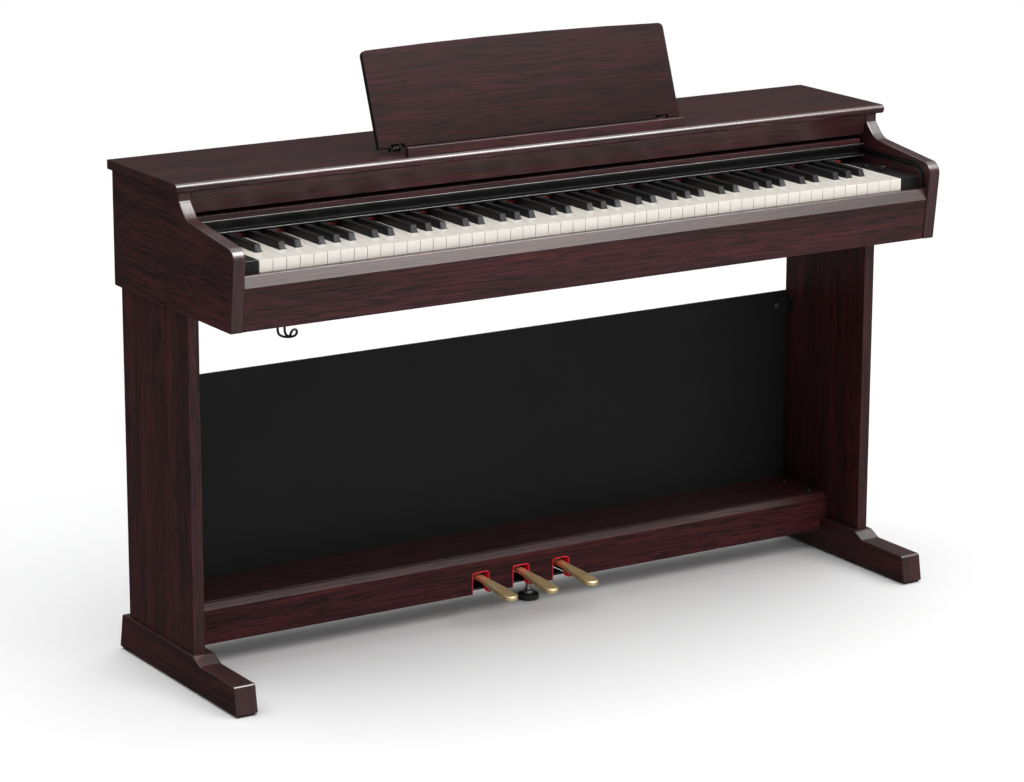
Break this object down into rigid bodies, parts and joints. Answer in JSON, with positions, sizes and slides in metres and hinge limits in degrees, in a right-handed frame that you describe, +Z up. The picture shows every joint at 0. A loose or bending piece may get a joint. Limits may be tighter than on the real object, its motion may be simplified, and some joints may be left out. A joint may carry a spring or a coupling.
{
  "type": "digital piano",
  "caption": "Console digital piano: keyboard under a sliding cover, folding music rest, curved side arms, panel legs, feet and a pedal box.",
  "frame": {"origin": "on the floor under the middle of the overall box", "axes": "+X towards the treble end, +Y towards the back, +Z up"},
  "size_m": [1.357, 0.4209, 0.9777],
  "materials": {
    "rosewood_laminate": "dark rosewood laminate, satin",
    "black_board": "matte black board",
    "black_plastic": "satin black",
    "key_ivory": "warm white, smooth",
    "key_ebony": "matte black",
    "red_felt": "red felt",
    "red_plastic": "matte red",
    "brass": "polished brass",
    "steel": "plain steel",
    "black_metal": "black paint",
    "circuit_board": "green board",
    "black_rubber": "matte"
  },
  "bodies": {
    "cabinet": {"top_panel": "rosewood_laminate", "left_side_panel": "rosewood_laminate", "right_side_panel": "rosewood_laminate", "front_board": "rosewood_laminate", "rear_panel": "black_board", "keybed": "black_board", "key_slip": "rosewood_laminate", "left_end_block": "black_plastic", "right_end_block": "black_plastic", "guide_tracks": "black_plastic", "cover_run_rails": "black_plastic", "key_frame": "black_metal", "key_pivot_rod": "steel", "felt_bar": "black_board", "key_felt": "red_felt", "main_board": "circuit_board", "socket_panel": "black_plastic", "speakers": "black_metal", "headphone_jack_unit": "black_plastic", "headphone_hook": "black_metal", "music_ledge": "rosewood_laminate", "rest_hinges": "black_metal", "left_leg": "rosewood_laminate", "right_leg": "rosewood_laminate", "left_foot": "rosewood_laminate", "right_foot": "rosewood_laminate", "foot_pads": "black_rubber", "back_board": "black_board", "steel_brackets": "black_metal", "pedal_box_front": "rosewood_laminate", "pedal_box_shelf": "rosewood_laminate", "pedal_trims": "red_plastic", "pedal_chassis": "black_metal", "pedal_shaft": "steel", "screw_heads": "steel"},
    "white_keys_c": {"white_keys_c": "key_ivory"},
    "white_keys_d": {"white_keys_d": "key_ivory"},
    "white_keys_e": {"white_keys_e": "key_ivory"},
    "white_keys_f": {"white_keys_f": "key_ivory"},
    "white_keys_g": {"white_keys_g": "key_ivory"},
    "white_keys_a": {"white_keys_a": "key_ivory"},
    "white_keys_b": {"white_keys_b": "key_ivory"},
    "black_keys_c_sharp": {"black_keys_c_sharp": "key_ebony"},
    "black_keys_d_sharp": {"black_keys_d_sharp": "key_ebony"},
    "black_keys_f_sharp": {"black_keys_f_sharp": "key_ebony"},
    "black_keys_g_sharp": {"black_keys_g_sharp": "key_ebony"},
    "black_keys_a_sharp": {"black_keys_a_sharp": "key_ebony"},
    "key_cover": {"key_cover": "rosewood_laminate", "cover_rail": "black_plastic"},
    "cover_shaft": {"cover_shaft": "steel"},
    "power_button": {"power_button": "black_plastic"},
    "volume_knob": {"volume_knob": "black_plastic"},
    "function_buttons": {"function_buttons": "black_plastic"},
    "music_rest": {"music_rest": "rosewood_laminate"},
    "rest_supports": {"rest_supports": "steel"},
    "left_pedal": {"left_pedal": "brass"},
    "middle_pedal": {"middle_pedal": "brass"},
    "right_pedal": {"right_pedal": "brass"},
    "adjuster_pad": {"adjuster_pad": "black_rubber"},
    "adjuster_screw": {"adjuster_screw": "steel"}
  },
  "joints": [
    {"name": "press_white_c", "type": "hinge", "parent": "cabinet", "child": "white_keys_c", "pos_m": [0, 0.04, 0.703], "axis": [1, 0, 0], "range_deg": [0, 2.6], "stiffness_Nm_per_rad": 10, "springref_deg": -11.46},
    {"name": "press_white_d", "type": "hinge", "parent": "cabinet", "child": "white_keys_d", "pos_m": [0, 0.04, 0.703], "axis": [1, 0, 0], "range_deg": [0, 2.6], "stiffness_Nm_per_rad": 10, "springref_deg": -11.46},
    {"name": "press_white_e", "type": "hinge", "parent": "cabinet", "child": "white_keys_e", "pos_m": [0, 0.04, 0.703], "axis": [1, 0, 0], "range_deg": [0, 2.6], "stiffness_Nm_per_rad": 10, "springref_deg": -11.46},
    {"name": "press_white_f", "type": "hinge", "parent": "cabinet", "child": "white_keys_f", "pos_m": [0, 0.04, 0.703], "axis": [1, 0, 0], "range_deg": [0, 2.6], "stiffness_Nm_per_rad": 10, "springref_deg": -11.46},
    {"name": "press_white_g", "type": "hinge", "parent": "cabinet", "child": "white_keys_g", "pos_m": [0, 0.04, 0.703], "axis": [1, 0, 0], "range_deg": [0, 2.6], "stiffness_Nm_per_rad": 10, "springref_deg": -11.46},
    {"name": "press_white_a", "type": "hinge", "parent": "cabinet", "child": "white_keys_a", "pos_m": [0, 0.04, 0.703], "axis": [1, 0, 0], "range_deg": [0, 2.6], "stiffness_Nm_per_rad": 10, "springref_deg": -11.46},
    {"name": "press_white_b", "type": "hinge", "parent": "cabinet", "child": "white_keys_b", "pos_m": [0, 0.04, 0.703], "axis": [1, 0, 0], "range_deg": [0, 2.6], "stiffness_Nm_per_rad": 10, "springref_deg": -11.46},
    {"name": "press_black_c_sharp", "type": "hinge", "parent": "cabinet", "child": "black_keys_c_sharp", "pos_m": [0, 0.04, 0.703], "axis": [1, 0, 0], "range_deg": [0, 2.6], "stiffness_Nm_per_rad": 5, "springref_deg": -12.61},
    {"name": "press_black_d_sharp", "type": "hinge", "parent": "cabinet", "child": "black_keys_d_sharp", "pos_m": [0, 0.04, 0.703], "axis": [1, 0, 0], "range_deg": [0, 2.6], "stiffness_Nm_per_rad": 5, "springref_deg": -12.61},
    {"name": "press_black_f_sharp", "type": "hinge", "parent": "cabinet", "child": "black_keys_f_sharp", "pos_m": [0, 0.04, 0.703], "axis": [1, 0, 0], "range_deg": [0, 2.6], "stiffness_Nm_per_rad": 5, "springref_deg": -12.61},
    {"name": "press_black_g_sharp", "type": "hinge", "parent": "cabinet", "child": "black_keys_g_sharp", "pos_m": [0, 0.04, 0.703], "axis": [1, 0, 0], "range_deg": [0, 2.6], "stiffness_Nm_per_rad": 5, "springref_deg": -12.61},
    {"name": "press_black_a_sharp", "type": "hinge", "parent": "cabinet", "child": "black_keys_a_sharp", "pos_m": [0, 0.04, 0.703], "axis": [1, 0, 0], "range_deg": [0, 2.6], "stiffness_Nm_per_rad": 5, "springref_deg": -12.61},
    {"name": "cover_slide", "type": "slide", "parent": "cabinet", "child": "key_cover", "axis": [0, -1, 0], "range_m": [0, 0.155]},
    {"name": "cover_shaft_spin", "type": "hinge", "parent": "key_cover", "child": "cover_shaft", "pos_m": [0, 0.158, 0.74], "axis": [1, 0, 0], "range_deg": [0, 990]},
    {"name": "power_press", "type": "slide", "parent": "cabinet", "child": "power_button", "axis": [0, 0, -1], "range_m": [0, 0.0015], "stiffness_N_per_m": 400, "springref_m": -0.002},
    {"name": "volume_slide", "type": "slide", "parent": "cabinet", "child": "volume_knob", "axis": [0, 1, 0], "range_m": [-0.0215, 0.0215]},
    {"name": "function_press", "type": "slide", "parent": "cabinet", "child": "function_buttons", "axis": [0, 0, -1], "range_m": [0, 0.0015], "stiffness_N_per_m": 600, "springref_m": -0.002},
    {"name": "music_rest_fold", "type": "hinge", "parent": "cabinet", "child": "music_rest", "pos_m": [0, 0.0205, 0.8185], "axis": [1, 0, 0], "range_deg": [-70, 0]},
    {"name": "rest_support_flip", "type": "hinge", "parent": "music_rest", "child": "rest_supports", "pos_m": [0, 0.04234, 0.8744], "axis": [1, 0, 0], "range_deg": [0, 130]},
    {"name": "left_pedal_press", "type": "hinge", "parent": "cabinet", "child": "left_pedal", "pos_m": [-0.08, 0.112, 0.064], "axis": [1, 0, 0], "range_deg": [0, 5.5], "stiffness_Nm_per_rad": 20, "springref_deg": -6.88},
    {"name": "middle_pedal_press", "type": "hinge", "parent": "cabinet", "child": "middle_pedal", "pos_m": [0, 0.112, 0.064], "axis": [1, 0, 0], "range_deg": [0, 5.5], "stiffness_Nm_per_rad": 20, "springref_deg": -6.88},
    {"name": "right_pedal_press", "type": "hinge", "parent": "cabinet", "child": "right_pedal", "pos_m": [0.08, 0.112, 0.064], "axis": [1, 0, 0], "range_deg": [0, 5.5], "stiffness_Nm_per_rad": 20, "springref_deg": -6.88},
    {"name": "adjuster_lift", "type": "slide", "parent": "cabinet", "child": "adjuster_pad", "axis": [0, 0, 1], "range_m": [0, 0.012]},
    {"name": "adjuster_turn", "type": "hinge", "parent": "adjuster_pad", "child": "adjuster_screw", "pos_m": [0.04, 0.084, 0.02], "axis": [0, 0, 1], "range_deg": [0, 1090]}
  ],
  "couplings": [
    {"joint": "cover_shaft_spin", "follows": "cover_slide", "rad_per_m": 111.11},
    {"joint": "rest_support_flip", "follows": "music_rest_fold", "ratio": -1.857},
    {"joint": "adjuster_turn", "follows": "adjuster_lift", "rad_per_m": 1570.8}
  ]
}
